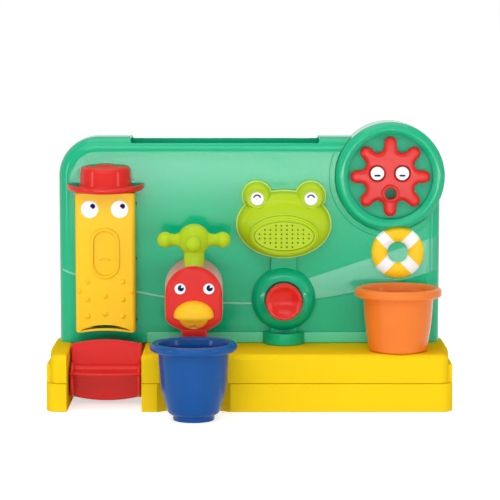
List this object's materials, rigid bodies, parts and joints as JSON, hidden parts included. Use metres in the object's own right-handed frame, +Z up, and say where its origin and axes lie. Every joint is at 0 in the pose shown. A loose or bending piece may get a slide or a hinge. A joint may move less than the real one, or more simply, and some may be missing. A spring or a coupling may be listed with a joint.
{
  "type": "bath activity panel",
  "caption": "Standing bath panel on a hollow base: water chute over a paddle wheel, turning tap, push-pump shower, star spinner and lifebuoy, with loose cups to fill and pour.",
  "frame": {"origin": "on the base's underside, in the middle of its footprint", "axes": "+X to the viewer's right along the board, +Y away from the viewer, +Z up"},
  "size_m": [0.402, 0.2103, 0.2823],
  "materials": {
    "teal_plastic": "glossy moulded ABS",
    "yellow_plastic": "glossy moulded ABS",
    "red_plastic": "glossy moulded ABS",
    "lime_plastic": "glossy moulded ABS",
    "blue_plastic": "glossy moulded polypropylene",
    "orange_plastic": "glossy moulded polypropylene",
    "white_plastic": "glossy moulded ABS",
    "clear_plastic": "milky soft plastic",
    "black_rubber": "soft moulded rubber",
    "steel": "plain stainless wire and screws"
  },
  "bodies": {
    "panel": {"board_front": "teal_plastic", "board_back": "teal_plastic", "dial_ring": "teal_plastic", "pump_dome": "teal_plastic", "base_deck": "yellow_plastic", "base_tray": "yellow_plastic", "chute_cover": "yellow_plastic", "bird_beak": "yellow_plastic", "lifebuoy_ring": "yellow_plastic", "chute_hat": "red_plastic", "bird_head": "red_plastic", "frog_head": "lime_plastic", "frog_spray_plate": "lime_plastic", "chute_eye_left": "white_plastic", "chute_eye_right": "white_plastic", "bird_eye_left": "white_plastic", "bird_eye_right": "white_plastic", "frog_eye_left": "white_plastic", "frog_eye_right": "white_plastic", "spinner_axle": "white_plastic", "water_trough": "clear_plastic", "pump_cylinder": "clear_plastic", "suction_tube": "clear_plastic", "delivery_tube": "clear_plastic", "tap_feed_tube": "clear_plastic", "pump_inlet_valve": "black_rubber", "pump_outlet_valve": "black_rubber", "paddle_axle": "steel", "pump_spring": "steel", "back_screw_1": "steel", "back_screw_2": "steel", "back_screw_3": "steel", "back_screw_4": "steel", "back_screw_5": "steel", "back_screw_6": "steel", "base_screw_1": "steel", "base_screw_2": "steel", "base_screw_3": "steel", "base_screw_4": "steel"},
    "wheel": {"paddle_wheel": "red_plastic"},
    "star": {"spinner_star": "red_plastic", "star_eye_left": "white_plastic", "star_eye_right": "white_plastic"},
    "tap": {"tap_handle": "lime_plastic", "tap_valve": "black_rubber"},
    "button": {"pump_button": "red_plastic", "pump_piston": "white_plastic", "piston_seal": "black_rubber"},
    "pot": {"orange_pot": "orange_plastic"},
    "bucket": {"blue_bucket": "blue_plastic"}
  },
  "joints": [
    {"name": "paddle_spin", "type": "hinge", "parent": "panel", "child": "wheel", "pos_m": [-0.1435, -0.019, 0.0348], "axis": [1, 0, 0], "continuous": true},
    {"name": "star_spin", "type": "hinge", "parent": "panel", "child": "star", "pos_m": [0.1423, 0.0125, 0.227], "axis": [0, -1, 0], "continuous": true},
    {"name": "tap_turn", "type": "hinge", "parent": "panel", "child": "tap", "pos_m": [-0.055, -0.039, 0.1684], "axis": [0, 0, 1], "range_deg": [0, 90]},
    {"name": "button_press", "type": "slide", "parent": "panel", "child": "button", "axis": [0, 1, 0], "range_m": [0, 0.012], "stiffness_N_per_m": 300, "springref_m": -0.004, "deforming": ["pump_spring"]},
    {"name": "pot_lift", "type": "slide", "parent": "panel", "child": "pot", "axis": [0, 0, 1], "range_m": [0, 0.045]},
    {"name": "bucket_pull", "type": "slide", "parent": "panel", "child": "bucket", "axis": [0, -1, 0], "range_m": [0, 0.1]}
  ]
}
